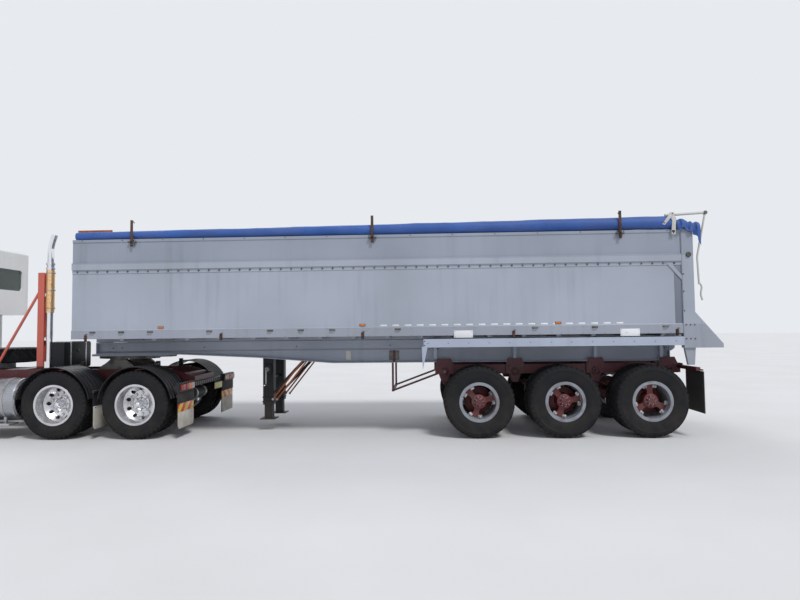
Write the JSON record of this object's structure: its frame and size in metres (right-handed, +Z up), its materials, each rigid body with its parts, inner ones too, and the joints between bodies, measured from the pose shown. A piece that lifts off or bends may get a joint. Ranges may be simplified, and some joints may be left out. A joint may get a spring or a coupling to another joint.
{
  "type": "articulated dump truck",
  "caption": "Cab-over tractor with an end-tipping tub trailer: hinged at the kingpin, with steering, tilting cab, doors, tailgate, telescopic hoist and turning wheels.",
  "frame": {"origin": "on the ground at the middle of the rig's length and width", "axes": "+X to the rear, +Y to the right-hand side, +Z up"},
  "size_m": [14.43, 2.95, 3.28],
  "materials": {
    "tub_paint": "weathered satin paint",
    "cab_paint": "gloss white paint",
    "maroon_paint": "dusty paint",
    "grey_paint": "satin paint",
    "black_paint": "satin paint",
    "bright_metal": "polished",
    "chrome": "polished",
    "cast_metal": "greasy",
    "tyre_rubber": "dusty",
    "guard_plastic": "ribbed",
    "cabin_trim": "grained",
    "cover_fabric": "woven"
  },
  "bodies": {
    "tractor": {"tractor_frame": "maroon_paint", "front_axle": "black_paint", "drive_axles": "maroon_paint", "engine_block": "grey_paint", "front_bumper": "cab_paint", "front_steps": "guard_plastic", "fuel_tanks": "bright_metal", "chassis_tanks": "black_paint", "fifth_wheel": "cast_metal", "drive_mudguards": "guard_plastic", "exhaust_stack": "chrome"},
    "cab": {"cab_front": "cab_paint", "cab_sides": "cab_paint", "cab_rear": "cab_paint", "cab_roof": "cab_paint", "cab_floor": "cab_paint", "cab_interior": "cabin_trim"},
    "door_left": {"cab_door_left": "cab_paint"},
    "door_right": {"cab_door_right": "cab_paint"},
    "knuckle_left": {"knuckle_left": "black_paint"},
    "knuckle_right": {"knuckle_right": "black_paint"},
    "trailer": {"trailer_frame": "grey_paint", "running_gear": "maroon_paint", "landing_legs": "black_paint", "wheel_guards": "tub_paint"},
    "tub": {"tub_floor": "tub_paint", "tub_sides": "tub_paint", "tub_front": "tub_paint", "tarp_roll": "cover_fabric"},
    "tailgate": {"tailgate": "tub_paint"},
    "hoist_barrel": {"hoist_barrel": "grey_paint"},
    "hoist_stage_1": {"hoist_stage_1": "chrome"},
    "hoist_stage_2": {"hoist_stage_2": "chrome"},
    "hoist_stage_3": {"hoist_stage_3": "chrome"},
    "hoist_stage_4": {"hoist_stage_4": "chrome"},
    "hoist_stage_5": {"hoist_stage_5": "chrome"},
    "wheel_steer_left": {"tyre_steer_left": "tyre_rubber", "wheel_steer_left": "bright_metal"},
    "wheel_steer_right": {"tyre_steer_right": "tyre_rubber", "wheel_steer_right": "bright_metal"},
    "wheel_drive_front_left": {"tyre_drive_front_left": "tyre_rubber", "wheel_drive_front_left": "bright_metal"},
    "wheel_drive_front_right": {"tyre_drive_front_right": "tyre_rubber", "wheel_drive_front_right": "bright_metal"},
    "wheel_drive_rear_left": {"tyre_drive_rear_left": "tyre_rubber", "wheel_drive_rear_left": "bright_metal"},
    "wheel_drive_rear_right": {"tyre_drive_rear_right": "tyre_rubber", "wheel_drive_rear_right": "bright_metal"},
    "wheel_trailer_1_left": {"tyre_trailer_1_left": "tyre_rubber", "wheel_trailer_1_left": "maroon_paint"},
    "wheel_trailer_1_right": {"tyre_trailer_1_right": "tyre_rubber", "wheel_trailer_1_right": "maroon_paint"},
    "wheel_trailer_2_left": {"tyre_trailer_2_left": "tyre_rubber", "wheel_trailer_2_left": "maroon_paint"},
    "wheel_trailer_2_right": {"tyre_trailer_2_right": "tyre_rubber", "wheel_trailer_2_right": "maroon_paint"},
    "wheel_trailer_3_left": {"tyre_trailer_3_left": "tyre_rubber", "wheel_trailer_3_left": "maroon_paint"},
    "wheel_trailer_3_right": {"tyre_trailer_3_right": "tyre_rubber", "wheel_trailer_3_right": "maroon_paint"}
  },
  "joints": [
    {"name": "articulation", "type": "hinge", "parent": "tractor", "child": "trailer", "pos_m": [-2.065, 0, 1.21], "axis": [0, 0, 1], "range_deg": [-70, 70]},
    {"name": "cab_tilt", "type": "hinge", "parent": "tractor", "child": "cab", "pos_m": [-6.985, 0, 1.065], "axis": [0, -1, 0], "range_deg": [0, 60]},
    {"name": "steering_left", "type": "hinge", "parent": "tractor", "child": "knuckle_left", "pos_m": [-5.815, -0.88, 0.515], "axis": [0, 0, 1], "range_deg": [-35, 35]},
    {"name": "steering_right", "type": "hinge", "parent": "tractor", "child": "knuckle_right", "pos_m": [-5.815, 0.88, 0.515], "axis": [0, 0, 1], "range_deg": [-35, 35]},
    {"name": "door_left", "type": "hinge", "parent": "cab", "child": "door_left", "pos_m": [-6.908, -1.232, 1.6], "axis": [0, 0, -1], "range_deg": [0, 70]},
    {"name": "door_right", "type": "hinge", "parent": "cab", "child": "door_right", "pos_m": [-6.908, 1.232, 1.6], "axis": [0, 0, 1], "range_deg": [0, 70]},
    {"name": "tip", "type": "hinge", "parent": "trailer", "child": "tub", "pos_m": [6.735, 0, 1.3], "axis": [0, 1, 0], "range_deg": [0, 42]},
    {"name": "tailgate_swing", "type": "hinge", "parent": "tub", "child": "tailgate", "pos_m": [6.79, 0, 2.64], "axis": [0, -1, 0], "range_deg": [0, 60]},
    {"name": "hoist_swing", "type": "hinge", "parent": "trailer", "child": "hoist_barrel", "pos_m": [-2.5, 0, 1.29], "axis": [0, 1, 0], "range_deg": [0, 25.17]},
    {"name": "hoist_slide_1", "type": "slide", "parent": "hoist_barrel", "child": "hoist_stage_1", "axis": [0, 0, 1], "range_m": [0, 1.307]},
    {"name": "hoist_slide_2", "type": "slide", "parent": "hoist_stage_1", "child": "hoist_stage_2", "axis": [0, 0, 1], "range_m": [0, 1.307]},
    {"name": "hoist_slide_3", "type": "slide", "parent": "hoist_stage_2", "child": "hoist_stage_3", "axis": [0, 0, 1], "range_m": [0, 1.307]},
    {"name": "hoist_slide_4", "type": "slide", "parent": "hoist_stage_3", "child": "hoist_stage_4", "axis": [0, 0, 1], "range_m": [0, 1.307]},
    {"name": "hoist_slide_5", "type": "slide", "parent": "hoist_stage_4", "child": "hoist_stage_5", "axis": [0, 0, 1], "range_m": [0, 1.307]},
    {"name": "roll_steer_left", "type": "hinge", "parent": "knuckle_left", "child": "wheel_steer_left", "pos_m": [-5.815, -1.0725, 0.515], "axis": [0, 1, 0], "continuous": true},
    {"name": "roll_steer_right", "type": "hinge", "parent": "knuckle_right", "child": "wheel_steer_right", "pos_m": [-5.815, 1.0725, 0.515], "axis": [0, 1, 0], "continuous": true},
    {"name": "roll_drive_front_left", "type": "hinge", "parent": "tractor", "child": "wheel_drive_front_left", "pos_m": [-2.63, -0.9425, 0.515], "axis": [0, 1, 0], "continuous": true},
    {"name": "roll_drive_front_right", "type": "hinge", "parent": "tractor", "child": "wheel_drive_front_right", "pos_m": [-2.63, 0.9425, 0.515], "axis": [0, 1, 0], "continuous": true},
    {"name": "roll_drive_rear_left", "type": "hinge", "parent": "tractor", "child": "wheel_drive_rear_left", "pos_m": [-1.38, -0.9425, 0.515], "axis": [0, 1, 0], "continuous": true},
    {"name": "roll_drive_rear_right", "type": "hinge", "parent": "tractor", "child": "wheel_drive_rear_right", "pos_m": [-1.38, 0.9425, 0.515], "axis": [0, 1, 0], "continuous": true},
    {"name": "roll_trailer_1_left", "type": "hinge", "parent": "trailer", "child": "wheel_trailer_1_left", "pos_m": [3.735, -0.9425, 0.525], "axis": [0, 1, 0], "continuous": true},
    {"name": "roll_trailer_1_right", "type": "hinge", "parent": "trailer", "child": "wheel_trailer_1_right", "pos_m": [3.735, 0.9425, 0.525], "axis": [0, 1, 0], "continuous": true},
    {"name": "roll_trailer_2_left", "type": "hinge", "parent": "trailer", "child": "wheel_trailer_2_left", "pos_m": [4.975, -0.9425, 0.525], "axis": [0, 1, 0], "continuous": true},
    {"name": "roll_trailer_2_right", "type": "hinge", "parent": "trailer", "child": "wheel_trailer_2_right", "pos_m": [4.975, 0.9425, 0.525], "axis": [0, 1, 0], "continuous": true},
    {"name": "roll_trailer_3_left", "type": "hinge", "parent": "trailer", "child": "wheel_trailer_3_left", "pos_m": [6.215, -0.9425, 0.525], "axis": [0, 1, 0], "continuous": true},
    {"name": "roll_trailer_3_right", "type": "hinge", "parent": "trailer", "child": "wheel_trailer_3_right", "pos_m": [6.215, 0.9425, 0.525], "axis": [0, 1, 0], "continuous": true}
  ],
  "couplings": [
    {"joint": "steering_right", "follows": "steering_left", "ratio": 1},
    {"joint": "hoist_swing", "follows": "tip", "ratio": 0.59798},
    {"joint": "hoist_slide_1", "follows": "tip", "m_per_rad": 1.7816},
    {"joint": "hoist_slide_2", "follows": "tip", "m_per_rad": 1.7816},
    {"joint": "hoist_slide_3", "follows": "tip", "m_per_rad": 1.7816},
    {"joint": "hoist_slide_4", "follows": "tip", "m_per_rad": 1.7816},
    {"joint": "hoist_slide_5", "follows": "tip", "m_per_rad": 1.7816}
  ]
}
